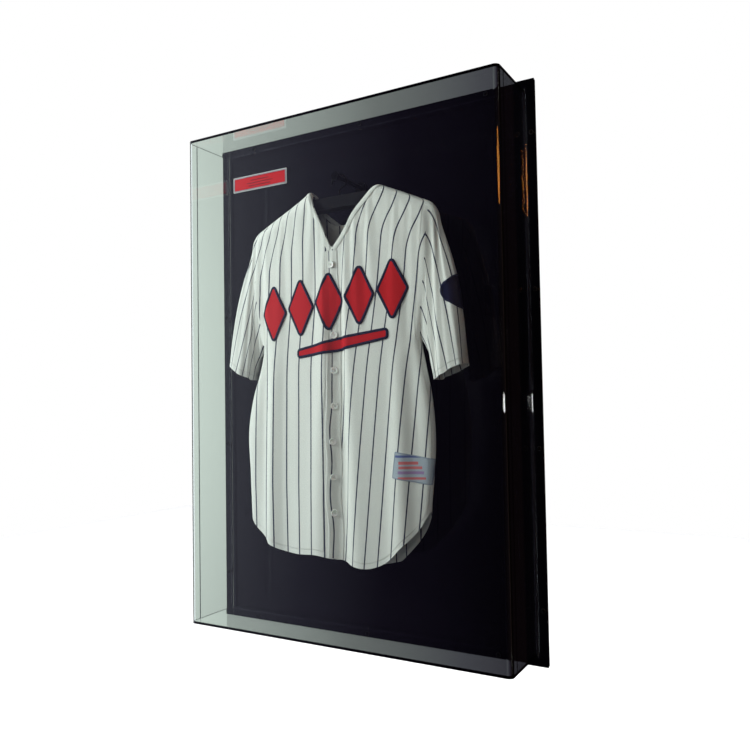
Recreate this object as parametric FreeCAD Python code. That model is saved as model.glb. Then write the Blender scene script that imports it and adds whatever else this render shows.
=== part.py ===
import FreeCAD, Part
import math
import os

# Wall-hung jersey display frame, in millimetres: a clear acrylic cover on a black acrylic back panel,
# with a jersey on a hanger inside.  X is to the right, +Y runs back into the wall, +Z is up.
# The origin is midway between the wall rail's two screw holes, on the wall.

V = FreeCAD.Vector

# ---- driving dimensions -------------------------------------------------------------------------
SHEET = 4.5                # thickness of the clear and the black acrylic
COVER_W = 733.0            # outside width of the cover's box
COVER_H = 1067.0           # outside height of the cover's box
COVER_D = 138.0            # from the cover's front face to the front of its flange
FLANGE = 20.0              # how far the flange and the panel stand out all round
RETURN = 27.0              # depth of the front sheet's bent returns
FRONT_BEND = 10.0          # outside radius of the front sheet's bends
FLANGE_BEND = 5.0          # radius in the hollow of the flange bends
STANDOFF = 8.0             # gap between panel and wall, filled by the hanging rails
CENTRE_Z = -245.0          # height of the cover's centre above the wall rail

RAIL_T = 2.2               # thickness of the rails' aluminium
RAIL_L = 460.0             # length of both rails
RAIL_BASE = 28.0           # height of each rail's flat
RAIL_LIP = 13.8            # height of each rail's hooked lip
RAIL_PLAY = 0.3            # play between the hooked lips
WALL_HOLES = 400.0         # distance between the wall rail's screw holes
WALL_HOLE_R = 2.6
RAIL_BOLTS_X = (-140.0, 0.0, 140.0)

SCREW_R = 1.9              # cover screws, M4
SCREW_INSET = 7.0          # from the panel's edge to the screws' axes
SCREWS_Z = (-450.0, -150.0, 150.0, 450.0)
SCREWS_X = (-290.0, 0.0, 290.0)

GARMENT_Y = -100.0         # middle plane of the hanger and the jersey
GARMENT_T = 56.0           # depth of the jersey from front to back
CLOTH = 4.0                # thickness of the jersey's plain solids
PEG_Z = 404.0              # peg's axis above the cover's centre
PEG_R = 5.0
WIRE_R = 2.0               # hanger hook's wire
HOOK_R = 17.0              # radius of the hook's centre line
HOOK_PLAY = 0.3

# ---- worked-out places --------------------------------------------------------------------------
PANEL_W = COVER_W + 2 * FLANGE
PANEL_H = COVER_H + 2 * FLANGE
PANEL_BACK = -STANDOFF
PANEL_FRONT = PANEL_BACK - SHEET
FLANGE_FRONT = PANEL_FRONT - SHEET
COVER_FRONT = FLANGE_FRONT - COVER_D
HALF_W = COVER_W / 2
HALF_H = COVER_H / 2
CLOTH_FRONT = GARMENT_Y - GARMENT_T / 2
CLOTH_BACK = GARMENT_Y + GARMENT_T / 2


# ---- helpers ------------------------------------------------------------------------------------
def save(name, shape):
    """One STEP file per sub-part."""
    shape.exportStep("parts/%s.step" % name)


def rounded_edges(corners, closed):
    """Straight runs joined by tangent arcs; corners are (point, radius)."""
    edges = []
    last = None
    count = len(corners)
    for i, (point, radius) in enumerate(corners):
        start = point
        end = point
        inner = closed or 0 < i < count - 1
        if radius > 0 and inner:
            before = (corners[i - 1][0] - point).normalize()
            after = (corners[(i + 1) % count][0] - point).normalize()
            half = before.getAngle(after) / 2
            bisector = V(before + after).normalize()
            start = point + before * (radius / math.tan(half))
            end = point + after * (radius / math.tan(half))
            middle = point + bisector * (radius / math.sin(half) - radius)
        if last is None:
            first = start
        elif last.distanceToPoint(start) > 1e-6:
            edges.append(Part.LineSegment(last, start).toShape())
        if radius > 0 and inner:
            edges.append(Part.Arc(start, middle, end).toShape())
        last = end
    if closed:
        edges.append(Part.LineSegment(last, first).toShape())
    return edges


def prism(corners, along):
    """Solid swept along a vector from a closed outline of (point, radius) corners."""
    wire = Part.Wire(rounded_edges(corners, True))
    return Part.Face(wire).extrude(along)


def rod(x, y0, y1, z, radius):
    """Round bar along Y."""
    return Part.makeCylinder(radius, y1 - y0, V(x, y0, z), V(0, 1, 0))


def upright(corners, y0, y1):
    """Plate parallel to the wall; corners are (x, height above the cover's centre, radius)."""
    outline = [(V(x, y0, CENTRE_Z + z), r) for x, z, r in corners]
    return prism(outline, V(0, y1 - y0, 0))


def mirrored_x(shape):
    return shape.mirror(V(0, 0, 0), V(1, 0, 0))


def cover_screw_places():
    """Axes of the screws round the flange, as (x, z)."""
    x = PANEL_W / 2 - SCREW_INSET
    z = PANEL_H / 2 - SCREW_INSET
    places = [(side * x, CENTRE_Z + dz) for side in (-1, 1) for dz in SCREWS_Z]
    places += [(dx, CENTRE_Z + side * z) for side in (-1, 1) for dx in SCREWS_X]
    return places


def drilled(shape, radius, y0, y1):
    """A flange or the panel with the cover screws' holes."""
    holes = [rod(x, y0, y1, z, radius) for x, z in cover_screw_places()]
    return shape.cut(Part.makeCompound(holes))


# ---- wall rail and what hangs on it --------------------------------------------------------------
def wall_rail():
    """Z-shaped aluminium rail, screwed to the wall, with its lip standing up."""
    x = -RAIL_L / 2
    low = -RAIL_BASE / 2
    web = RAIL_BASE / 2
    lip_back = -RAIL_T - 0.8
    top = web + RAIL_T + RAIL_LIP
    corners = [(0, low), (0, web + RAIL_T), (lip_back, web + RAIL_T), (lip_back, top),
               (lip_back - RAIL_T, top), (lip_back - RAIL_T, web), (-RAIL_T, web), (-RAIL_T, low)]
    rail = prism([(V(x, y, z), 0) for y, z in corners], V(RAIL_L, 0, 0))
    for side in (-1, 1):
        rail = rail.cut(rod(side * WALL_HOLES / 2, -RAIL_T - 1, 1, 0, WALL_HOLE_R))
    return rail


def panel_rail():
    """Matching rail on the panel's back, with its lip hanging down behind the wall rail's."""
    x = -RAIL_L / 2
    web = RAIL_BASE / 2 + RAIL_T + RAIL_LIP + RAIL_PLAY
    low = web - RAIL_LIP + RAIL_PLAY
    top = web + RAIL_T + RAIL_BASE
    lip_front = -RAIL_T - 0.8 + RAIL_PLAY
    lip_back = lip_front + RAIL_T
    corners = [(PANEL_BACK, web), (lip_front, web), (lip_front, low), (lip_back, low),
               (lip_back, web + RAIL_T), (PANEL_BACK + RAIL_T, web + RAIL_T),
               (PANEL_BACK + RAIL_T, top), (PANEL_BACK, top)]
    rail = prism([(V(x, y, z), 0) for y, z in corners], V(RAIL_L, 0, 0))
    for bolt_x in RAIL_BOLTS_X:
        rail = rail.cut(rod(bolt_x, PANEL_BACK - 1, PANEL_BACK + RAIL_T + 1, rail_bolt_z(), 2.2))
    return rail


def rail_bolt_z():
    return RAIL_BASE + RAIL_LIP + 2 * RAIL_T + RAIL_PLAY


def rail_bolts():
    """Low-headed screws through the panel and its rail, heads to the front."""
    bolts = []
    for x in RAIL_BOLTS_X:
        shank = rod(x, PANEL_FRONT, PANEL_BACK + RAIL_T + 3.4, rail_bolt_z(), 2.0)
        head = rod(x, PANEL_FRONT - 2.2, PANEL_FRONT, rail_bolt_z(), 4.0)
        bolts.append(shank.fuse(head).removeSplitter())
    return Part.makeCompound(bolts)


def rail_nuts():
    """Hexagon nuts on the rail bolts."""
    nuts = []
    front = PANEL_BACK + RAIL_T
    for x in RAIL_BOLTS_X:
        turns = [math.radians(60 * k) for k in range(6)]
        hexagon = [(V(x + 4 * math.cos(a), front, rail_bolt_z() + 4 * math.sin(a)), 0) for a in turns]
        nut = prism(hexagon, V(0, 3.0, 0))
        nuts.append(nut.cut(rod(x, front - 1, front + 4, rail_bolt_z(), 2.0)))
    return Part.makeCompound(nuts)


def wall_bumpers():
    """Rubber feet that keep the panel's lower edge off the wall."""
    z = CENTRE_Z - PANEL_H / 2 + 45
    feet = []
    for side in (-1, 1):
        foot = Part.makeCone(11, 9, STANDOFF, V(side * 320, PANEL_BACK, z), V(0, 1, 0))
        feet.append(foot)
    return Part.makeCompound(feet)


# ---- back panel ---------------------------------------------------------------------------------
def back_panel():
    """Black acrylic panel, drilled for the inserts, the rail bolts and the peg's bolt."""
    x = PANEL_W / 2
    z = PANEL_H / 2
    panel = upright([(-x, -z, 2), (x, -z, 2), (x, z, 2), (-x, z, 2)], PANEL_FRONT, PANEL_BACK)
    panel = drilled(panel, 3.0, PANEL_FRONT - 1, PANEL_BACK + 1)
    for bolt_x in RAIL_BOLTS_X:
        panel = panel.cut(rod(bolt_x, PANEL_FRONT - 1, PANEL_BACK + 1, rail_bolt_z(), 2.2))
    return panel.cut(rod(0, PANEL_FRONT - 1, PANEL_BACK + 1, CENTRE_Z + PEG_Z, 3.2))


def panel_inserts():
    """Threaded brass bushes pressed into the panel for the cover screws."""
    bushes = []
    for x, z in cover_screw_places():
        bush = rod(x, PANEL_FRONT, PANEL_BACK, z, 3.0)
        bushes.append(bush.cut(rod(x, PANEL_FRONT - 1, PANEL_BACK + 1, z, SCREW_R + 0.08)))
    return Part.makeCompound(bushes)


# ---- cover --------------------------------------------------------------------------------------
def cover_front():
    """Front sheet with a short return bent back along each side."""
    z = CENTRE_Z - HALF_H + SHEET
    back = COVER_FRONT + RETURN
    inner = HALF_W - SHEET
    hollow = FRONT_BEND - SHEET
    corners = [(-HALF_W, back, 0), (-HALF_W, COVER_FRONT, FRONT_BEND), (HALF_W, COVER_FRONT, FRONT_BEND),
               (HALF_W, back, 0), (inner, back, 0), (inner, COVER_FRONT + SHEET, hollow),
               (-inner, COVER_FRONT + SHEET, hollow), (-inner, back, 0)]
    return prism([(V(x, y, z), r) for x, y, r in corners], V(0, 0, COVER_H - 2 * SHEET))


def flanged(front, wall, edge):
    """Section of a wall sheet with its back bent out into a flange, as (out, y, radius) corners."""
    return [(wall, front, 0), (wall, FLANGE_FRONT, FLANGE_BEND), (edge, FLANGE_FRONT, 0),
            (edge, PANEL_FRONT, 0), (wall - SHEET, PANEL_FRONT, FLANGE_BEND + SHEET),
            (wall - SHEET, front, 0)]


def cover_side_right():
    """Side sheet behind the front sheet's return, mitred at both ends of its flange."""
    section = flanged(COVER_FRONT + RETURN, HALF_W, PANEL_W / 2)
    low = CENTRE_Z - PANEL_H / 2
    side = prism([(V(x, y, low), r) for x, y, r in section], V(0, 0, PANEL_H))
    reach = 2 * FLANGE
    end = [(HALF_W - 2 * SHEET, HALF_H - SHEET), (HALF_W, HALF_H - SHEET), (HALF_W, HALF_H),
           (HALF_W + reach, HALF_H + reach), (HALF_W - 2 * SHEET, HALF_H + reach)]
    for turn in (-1, 1):
        cutter = upright([(x, turn * z, 0) for x, z in end], COVER_FRONT, 0)
        side = side.cut(cutter)
    return drilled(side, SCREW_R + 0.3, FLANGE_FRONT - 1, PANEL_FRONT + 1)


def cover_top():
    """Top sheet over the full depth, its flange mitred to the side flanges."""
    section = flanged(COVER_FRONT, HALF_H, PANEL_H / 2)
    left = -PANEL_W / 2
    top = prism([(V(left, y, CENTRE_Z + z), r) for z, y, r in section], V(PANEL_W, 0, 0))
    reach = 2 * FLANGE
    end = [(HALF_W, HALF_H - reach), (HALF_W, HALF_H), (HALF_W + reach, HALF_H + reach),
           (HALF_W + reach, HALF_H - reach)]
    for turn in (-1, 1):
        top = top.cut(upright([(turn * x, z, 0) for x, z in end], COVER_FRONT - 1, 0))
    corners = [e for e in top.Edges if is_front_corner(e)]
    top = top.makeFillet(FRONT_BEND, corners)
    return drilled(top, SCREW_R + 0.3, FLANGE_FRONT - 1, PANEL_FRONT + 1)


def is_front_corner(edge):
    """True for the upright edges at the cover's two front corners."""
    ends = [v.Point for v in edge.Vertexes]
    at_corner = all(abs(abs(p.x) - HALF_W) < 0.1 and abs(p.y - COVER_FRONT) < 0.1 for p in ends)
    return at_corner and abs(ends[0].z - ends[-1].z) > 1


def cover_bottom():
    return cover_top().mirror(V(0, 0, CENTRE_Z), V(0, 0, 1))


def cover_washers():
    """Thin nylon washers under the cover screws' heads."""
    rings = []
    for x, z in cover_screw_places():
        ring = rod(x, FLANGE_FRONT - 0.8, FLANGE_FRONT, z, 4.6)
        rings.append(ring.cut(rod(x, FLANGE_FRONT - 2, FLANGE_FRONT + 1, z, SCREW_R + 0.2)))
    return Part.makeCompound(rings)


def cover_screws():
    """Black button-headed screws with a hexagon socket."""
    screws = []
    under_head = FLANGE_FRONT - 0.8
    for x, z in cover_screw_places():
        head = rod(x, under_head - 2.2, under_head, z, 3.8)
        head = head.makeFillet(1.4, [e for e in head.Edges if abs(e.CenterOfMass.y - under_head + 2.2) < 0.01])
        turns = [math.radians(60 * k) for k in range(6)]
        socket = [(V(x + 1.4 * math.cos(a), under_head - 2.2, z + 1.4 * math.sin(a)), 0) for a in turns]
        head = head.cut(prism(socket, V(0, 1.3, 0)))
        shank = rod(x, under_head, PANEL_BACK + 1.5, z, SCREW_R)
        screws.append(head.fuse(shank).removeSplitter())
    return Part.makeCompound(screws)


# ---- nameplate ----------------------------------------------------------------------------------
PLATE_X = -275.0           # centre of the nameplate
PLATE_Z = 465.0            # above the cover's centre
PLATE_W = 157.0
PLATE_H = 36.0


def nameplate_outline(margin):
    x = PLATE_W / 2 - margin
    z = PLATE_H / 2 - margin
    return [(PLATE_X - x, PLATE_Z - z, 1.5), (PLATE_X + x, PLATE_Z - z, 1.5),
            (PLATE_X + x, PLATE_Z + z, 1.5), (PLATE_X - x, PLATE_Z + z, 1.5)]


def nameplate():
    return upright(nameplate_outline(0), PANEL_FRONT - 2.6, PANEL_FRONT - 1.1)


def nameplate_tape():
    return upright(nameplate_outline(6), PANEL_FRONT - 1.1, PANEL_FRONT)


def nameplate_rim():
    """Thin silver line set round the plate's face."""
    outer = upright(nameplate_outline(2.2), PANEL_FRONT - 3.0, PANEL_FRONT - 2.6)
    return outer.cut(upright(nameplate_outline(4.2), PANEL_FRONT - 4.0, PANEL_FRONT - 1.6))


# ---- peg and hanger -----------------------------------------------------------------------------
BAR_TOP = 366.0            # hanger bar's top at its middle, above the cover's centre


def hanger_peg():
    """Round black peg that stands out of the panel, with a lip that keeps the hook on."""
    z = CENTRE_Z + PEG_Z
    tip = GARMENT_Y - 12
    peg = rod(0, tip, PANEL_FRONT, z, PEG_R)
    peg = peg.fuse(rod(0, tip - 5, tip, z, PEG_R + 3.5))
    peg = peg.fuse(rod(0, PANEL_FRONT - 4, PANEL_FRONT, z, PEG_R + 8)).removeSplitter()
    return peg.cut(rod(0, PANEL_FRONT - 22, PANEL_FRONT + 1, z, 3.0))


def peg_bolt():
    """Bolt from the panel's back into the peg."""
    z = CENTRE_Z + PEG_Z
    shank = rod(0, PANEL_FRONT - 20, PANEL_BACK, z, 3.0)
    return shank.fuse(rod(0, PANEL_BACK, PANEL_BACK + 4, z, 6.5)).removeSplitter()


def hanger_hook():
    """Bent black steel wire, hung on the peg and turning in the bar."""
    crown = CENTRE_Z + PEG_Z + PEG_R + HOOK_PLAY + WIRE_R
    middle = crown - HOOK_R
    foot = CENTRE_Z + BAR_TOP - 16
    path = [(0, foot, 0), (0, middle - 15, 5), (HOOK_R, middle - 5, 5), (HOOK_R, crown, HOOK_R),
            (-HOOK_R, crown, HOOK_R), (-HOOK_R, middle - 3, 0)]
    wire = Part.Wire(rounded_edges([(V(x, GARMENT_Y, z), r) for x, z, r in path], False))
    ring = Part.Wire(Part.makeCircle(WIRE_R, V(0, GARMENT_Y, foot), V(0, 0, 1)))
    return wire.makePipeShell([ring], True, True)


def hanger_bar():
    """Wide black shoulder bar with a bore for the hook's stem."""
    drop = 24.0
    top = [(-186, BAR_TOP - 52), (-72, BAR_TOP - 3), (72, BAR_TOP - 3), (186, BAR_TOP - 52)]
    low = [(x, z - drop) for x, z in reversed(top)]
    corners = [(x, z, r) for (x, z), r in zip(top + low, (8, 60, 60, 8, 8, 60, 60, 8))]
    bar = upright(corners, GARMENT_Y - 15, GARMENT_Y + 15)
    bore_foot = V(0, GARMENT_Y, CENTRE_Z + BAR_TOP - 17)
    return bar.cut(Part.makeCylinder(WIRE_R + 0.06, 40, bore_foot, V(0, 0, 1)))


# ---- jersey -------------------------------------------------------------------------------------
# Outlines are (x, height above the cover's centre, corner radius).  Left and right are the viewer's.
PLACKET_X = (-18.0, 12.0)
V_NECK = (-3.0, 252.0)
LEFT_NECK = (-75.0, 373.0)
RIGHT_NECK = (78.0, 372.0)
LEFT_SHOULDER = (-203.0, 311.0)
RIGHT_SHOULDER = (204.0, 318.0)
LEFT_ARMPIT = (-228.0, 130.0)
RIGHT_ARMPIT = (212.0, 130.0)
LEFT_HEM = (-238.0, -366.0)
RIGHT_HEM = (202.0, -384.0)
HEM_CURVE = 105.0


def neck_height(x):
    """Height of the V neck's edge at x."""
    end = LEFT_NECK if x < V_NECK[0] else RIGHT_NECK
    return V_NECK[1] + (end[1] - V_NECK[1]) * (x - V_NECK[0]) / (end[0] - V_NECK[0])


def hem_height(x):
    """Height of the straight line between the hem's corners at x."""
    return LEFT_HEM[1] + (RIGHT_HEM[1] - LEFT_HEM[1]) * (x - LEFT_HEM[0]) / (RIGHT_HEM[0] - LEFT_HEM[0])


def shoulder_strip(neck, shoulder, y0, y1):
    """Cloth over the hanger from neck to shoulder."""
    corners = [neck + (0,), shoulder + (0,), (shoulder[0], shoulder[1] - CLOTH, 0),
               (neck[0], neck[1] - CLOTH, 0)]
    return upright(corners, y0, y1)


def jersey_front_left():
    x = PLACKET_X[0]
    corners = [(x, neck_height(x), 0), LEFT_NECK + (0,), LEFT_SHOULDER + (0,), LEFT_ARMPIT + (0,),
               LEFT_HEM + (HEM_CURVE,), (x, hem_height(x), 0)]
    panel = upright(corners, CLOTH_FRONT, CLOTH_FRONT + CLOTH)
    return panel.fuse(shoulder_strip(LEFT_NECK, LEFT_SHOULDER, CLOTH_FRONT, GARMENT_Y)).removeSplitter()


def jersey_front_right():
    x = PLACKET_X[1]
    corners = [(x, neck_height(x), 0), RIGHT_NECK + (0,), RIGHT_SHOULDER + (0,), RIGHT_ARMPIT + (0,),
               RIGHT_HEM + (HEM_CURVE,), (x, hem_height(x), 0)]
    panel = upright(corners, CLOTH_FRONT, CLOTH_FRONT + CLOTH)
    return panel.fuse(shoulder_strip(RIGHT_NECK, RIGHT_SHOULDER, CLOTH_FRONT, GARMENT_Y)).removeSplitter()


def jersey_placket():
    """Button band down the middle of the front."""
    left, right = PLACKET_X
    corners = [(left, neck_height(left), 0), V_NECK + (0,), (right, neck_height(right), 0),
               (right, hem_height(right), 0), (left, hem_height(left), 0)]
    return upright(corners, CLOTH_FRONT, CLOTH_FRONT + CLOTH)


def jersey_back():
    neck_drop = 18.0
    corners = [LEFT_NECK + (0,), (LEFT_NECK[0], LEFT_NECK[1] - neck_drop, 0),
               (RIGHT_NECK[0], RIGHT_NECK[1] - neck_drop, 0), RIGHT_NECK + (0,), RIGHT_SHOULDER + (0,),
               RIGHT_ARMPIT + (0,), RIGHT_HEM + (HEM_CURVE,), LEFT_HEM + (HEM_CURVE,),
               LEFT_ARMPIT + (0,), LEFT_SHOULDER + (0,)]
    panel = upright(corners, CLOTH_BACK - CLOTH, CLOTH_BACK)
    for neck, shoulder in ((LEFT_NECK, LEFT_SHOULDER), (RIGHT_NECK, RIGHT_SHOULDER)):
        panel = panel.fuse(shoulder_strip(neck, shoulder, GARMENT_Y, CLOTH_BACK))
    return panel.removeSplitter()


def sleeve(shoulder, armpit, cuff_out, cuff_in):
    """Short sleeve hanging from the armhole."""
    side = -1 if shoulder[0] < 0 else 1
    corners = [shoulder + (0,), (shoulder[0] + side * 42, shoulder[1] - 62, 50), cuff_out + (0,),
               cuff_in + (0,), armpit + (0,)]
    return upright(corners, CLOTH_FRONT, CLOTH_BACK)


def jersey_collar():
    """Narrow band sewn along the neck's edge."""
    width = 9.0
    left = [LEFT_NECK, V_NECK, (V_NECK[0], V_NECK[1] + 2 * width), (LEFT_NECK[0] + width, LEFT_NECK[1])]
    right = [RIGHT_NECK, V_NECK, (V_NECK[0], V_NECK[1] + 2 * width), (RIGHT_NECK[0] - width, RIGHT_NECK[1])]
    bands = [upright([p + (0,) for p in side], CLOTH_FRONT, CLOTH_FRONT + 1.6) for side in (left, right)]
    return bands[0].fuse(bands[1]).removeSplitter()


def neck_label():
    return upright([(-30, 318, 2), (12, 318, 2), (12, 346, 2), (-30, 346, 2)],
                   CLOTH_BACK - CLOTH - 1, CLOTH_BACK - CLOTH)


def button_heights():
    """Seven buttons: one below the V, and six evenly spaced below the lozenges."""
    return [220.0] + [78.0 - 71.0 * k for k in range(6)]


def jersey_buttons():
    x = V_NECK[0]
    discs = [rod(x, CLOTH_FRONT - 2.4, CLOTH_FRONT, CENTRE_Z + z, 6.5) for z in button_heights()]
    return Part.makeCompound([d.makeFillet(0.8, [d.Edges[0], d.Edges[2]]) for d in discs])


LOZENGES = 5
LOZENGE_W = 58.0
LOZENGE_H = 114.0


def lozenge(k, margin):
    """One plain lozenge of the row that rises across the chest."""
    x = -152.0 + 71.0 * k
    z = 132.0 + 7.0 * k
    half_w = LOZENGE_W / 2 + margin
    half_h = LOZENGE_H / 2 + margin * LOZENGE_H / LOZENGE_W
    return [(x - half_w, z, 0), (x, z - half_h, 0), (x + half_w, z, 0), (x, z + half_h, 0)]


def chest_bar(margin):
    """Plain slanted bar under the lozenges."""
    left = (-84 - margin, 38 - margin)
    right = (114 + margin, 67 - margin)
    depth = 12 + 2 * margin
    return [left + (0,), right + (0,), (right[0], right[1] + depth, 0), (left[0], left[1] + depth, 0)]


def chest_layer(margin, y0, y1):
    pieces = [upright(lozenge(k, margin), y0, y1) for k in range(LOZENGES)]
    pieces.append(upright(chest_bar(margin), y0, y1))
    return Part.makeCompound(pieces)


def hem_tag():
    """Woven tag near the lower right of the front."""
    return upright([(124, -203, 0), (196, -216, 0), (203, -167, 0), (131, -153, 0)],
                   CLOTH_FRONT - 1, CLOTH_FRONT)


def sleeve_patch():
    return rod(240, CLOTH_FRONT - 1, CLOTH_FRONT, CENTRE_Z + 146, 24)


# ---- everything ---------------------------------------------------------------------------------
def main():
    os.makedirs("parts", exist_ok=True)
    right = cover_side_right()
    parts = {
        "wall_rail": wall_rail(),
        "panel_rail": panel_rail(),
        "rail_bolts": rail_bolts(),
        "rail_nuts": rail_nuts(),
        "wall_bumpers": wall_bumpers(),
        "back_panel": back_panel(),
        "panel_inserts": panel_inserts(),
        "cover_front": cover_front(),
        "cover_side_right": right,
        "cover_side_left": mirrored_x(right),
        "cover_top": cover_top(),
        "cover_bottom": cover_bottom(),
        "cover_washers": cover_washers(),
        "cover_screws": cover_screws(),
        "nameplate": nameplate(),
        "nameplate_rim": nameplate_rim(),
        "nameplate_tape": nameplate_tape(),
        "hanger_peg": hanger_peg(),
        "peg_bolt": peg_bolt(),
        "hanger_hook": hanger_hook(),
        "hanger_bar": hanger_bar(),
        "jersey_front_left": jersey_front_left(),
        "jersey_front_right": jersey_front_right(),
        "jersey_placket": jersey_placket(),
        "jersey_back": jersey_back(),
        "jersey_sleeve_left": sleeve(LEFT_SHOULDER, LEFT_ARMPIT, (-292.0, 16.0), (-244.0, -2.0)),
        "jersey_sleeve_right": sleeve(RIGHT_SHOULDER, RIGHT_ARMPIT, (272.0, 4.0), (226.0, -8.0)),
        "jersey_collar": jersey_collar(),
        "neck_label": neck_label(),
        "jersey_buttons": jersey_buttons(),
        "chest_backing": chest_layer(4.0, CLOTH_FRONT - 0.8, CLOTH_FRONT),
        "chest_applique": chest_layer(0.0, CLOTH_FRONT - 1.6, CLOTH_FRONT - 0.8),
        "hem_tag": hem_tag(),
        "sleeve_patch": sleeve_patch(),
    }
    for name, shape in parts.items():
        save(name, shape)


main()
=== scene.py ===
"""Looks of the jersey display frame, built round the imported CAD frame.

Shapes are given in millimetres in the garment's own frame: x to the viewer's right, depth from the
shirt's middle plane (negative towards the viewer), and height above the middle of the cover.
"""

import math

import bmesh
import bpy
import numpy as np
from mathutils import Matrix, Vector
from mathutils.bvhtree import BVHTree


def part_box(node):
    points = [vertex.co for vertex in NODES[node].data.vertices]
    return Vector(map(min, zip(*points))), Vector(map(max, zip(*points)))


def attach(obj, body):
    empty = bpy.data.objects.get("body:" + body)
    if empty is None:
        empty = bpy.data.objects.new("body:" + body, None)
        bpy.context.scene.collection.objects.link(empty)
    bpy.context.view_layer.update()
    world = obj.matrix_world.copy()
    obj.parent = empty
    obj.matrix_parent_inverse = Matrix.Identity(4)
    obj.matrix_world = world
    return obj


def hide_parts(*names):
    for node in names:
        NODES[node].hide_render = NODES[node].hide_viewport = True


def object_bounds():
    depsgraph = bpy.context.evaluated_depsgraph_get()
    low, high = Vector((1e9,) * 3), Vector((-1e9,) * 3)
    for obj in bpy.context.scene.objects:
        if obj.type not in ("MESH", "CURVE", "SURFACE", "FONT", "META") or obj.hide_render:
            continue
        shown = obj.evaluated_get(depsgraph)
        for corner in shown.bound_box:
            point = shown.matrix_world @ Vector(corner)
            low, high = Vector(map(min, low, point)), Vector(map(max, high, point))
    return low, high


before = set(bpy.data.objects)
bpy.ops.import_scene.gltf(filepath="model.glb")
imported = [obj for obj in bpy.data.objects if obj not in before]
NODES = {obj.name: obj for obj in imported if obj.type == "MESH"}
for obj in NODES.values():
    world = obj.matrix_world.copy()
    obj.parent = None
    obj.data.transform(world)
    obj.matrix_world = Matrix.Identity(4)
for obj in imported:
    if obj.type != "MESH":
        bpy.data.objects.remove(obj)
CAD_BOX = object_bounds()

MM = 0.001


def middle(node):
    """Centre of a CAD node's box, in metres."""
    low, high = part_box(node)
    return (low + high) / 2


MID_Y = (middle("jersey_front_left").y + middle("jersey_back").y) / 2
MID_Z = middle("cover_front").z


def to_world(points):
    """Garment points in millimetres as world points in metres."""
    return np.asarray(points, float) * MM + np.array([0.0, MID_Y, MID_Z])


def local_box(node):
    """A CAD node's box in the garment's own frame, in millimetres."""
    low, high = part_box(node)
    origin = Vector((0.0, MID_Y, MID_Z))
    return (low - origin) / MM, (high - origin) / MM


# ---- materials ----------------------------------------------------------------------------------
class Graph:
    """Node tree of a new material or world, with short calls that add nodes and join them."""

    def __init__(self, name, kind="materials"):
        self.owner = getattr(bpy.data, kind).new(name)
        self.owner.use_nodes = True
        self.tree = self.owner.node_tree
        self.tree.nodes.clear()

    def feed(self, socket, value):
        """Joins value to the socket if it is an output, and else sets it there."""
        if isinstance(value, bpy.types.NodeSocket):
            self.tree.links.new(value, socket)
        elif isinstance(value, tuple) and len(value) == 3 and socket.type == "RGBA":
            socket.default_value = (*value, 1.0)
        else:
            socket.default_value = value

    def add(self, kind, inputs=(), **settings):
        """A new shader node with its settings, and its inputs by name or number."""
        node = self.tree.nodes.new("ShaderNode" + kind)
        for key, value in settings.items():
            setattr(node, key, value)
        for key, value in dict(inputs).items():
            self.feed(node.inputs[key], value)
        return node

    def math(self, operation, first, second=0.0, third=None):
        inputs = {0: first, 1: second}
        if third is not None:
            inputs[2] = third
        return self.add("Math", inputs, operation=operation).outputs[0]

    def wave(self, value, period):
        """A sine of the value with that period."""
        return self.math("SINE", self.math("MULTIPLY", value, 2 * math.pi / period))

    def within(self, value, middle, reach):
        """1 where the value is less than reach from middle, and else 0."""
        return self.math("LESS_THAN", self.math("ABSOLUTE", self.math("SUBTRACT", value, middle)), reach)

    def spot(self, kind="Object"):
        """Texture coordinates in metres: Object is the frame's own, and UV the cloth's flat cut."""
        return self.add("TexCoord").outputs[kind]

    def split(self, vector):
        return self.add("SeparateXYZ", {0: vector}).outputs

    def noise(self, vector, scale, detail=3.0, roughness=0.5):
        inputs = {"Vector": vector, "Scale": scale, "Detail": detail, "Roughness": roughness}
        return self.add("TexNoise", inputs).outputs["Fac"]

    def band(self, value, low, high):
        """0 below low and 1 above high, with a smooth step between."""
        inputs = {"Value": value, "From Min": low, "From Max": high}
        return self.add("MapRange", inputs, interpolation_type="SMOOTHSTEP").outputs[0]

    def blend(self, factor, first, second, blend_type="MIX"):
        """A mix of two colours."""
        node = self.add("Mix", {"Factor": factor}, data_type="RGBA", blend_type=blend_type)
        self.feed(node.inputs[6], first)
        self.feed(node.inputs[7], second)
        return node.outputs[2]

    def scaled(self, vector, size):
        return self.add("Mapping", {"Vector": vector, "Scale": size}).outputs[0]

    def bump(self, height, distance, strength=1.0, normal=None):
        inputs = {"Height": height, "Distance": distance, "Strength": strength}
        if normal is not None:
            inputs["Normal"] = normal
        return self.add("Bump", inputs).outputs[0]

    def finish(self, shader, output="OutputMaterial"):
        """Joins the shader to the output, and returns the material or world."""
        self.tree.links.new(shader, self.add(output).inputs["Surface"])
        return self.owner

    def surface(self, colour, roughness, **more):
        """A Principled surface. Keyword names are the sockets' names with _ for a space."""
        inputs = {"Base Color": colour, "Roughness": roughness}
        inputs.update({key.replace("_", " "): value for key, value in more.items()})
        return self.add("BsdfPrincipled", inputs).outputs[0]


def shaded(colour, share):
    """A colour at a share of its brightness."""
    return tuple(channel * share for channel in colour)


def clear_acrylic():
    """Clear sheet with a faint green cast, which lets the lamps' light through to the shirt."""
    g = Graph("clear_acrylic")
    tint = (0.935, 0.965, 0.945)
    glass = g.surface(tint, 0.0, Transmission_Weight=1.0, IOR=1.49)
    through = g.add("BsdfTransparent", {"Color": tint}).outputs[0]
    shadow = g.add("LightPath").outputs["Is Shadow Ray"]
    return g.finish(g.add("MixShader", {0: shadow, 1: glass, 2: through}).outputs[0])


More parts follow.
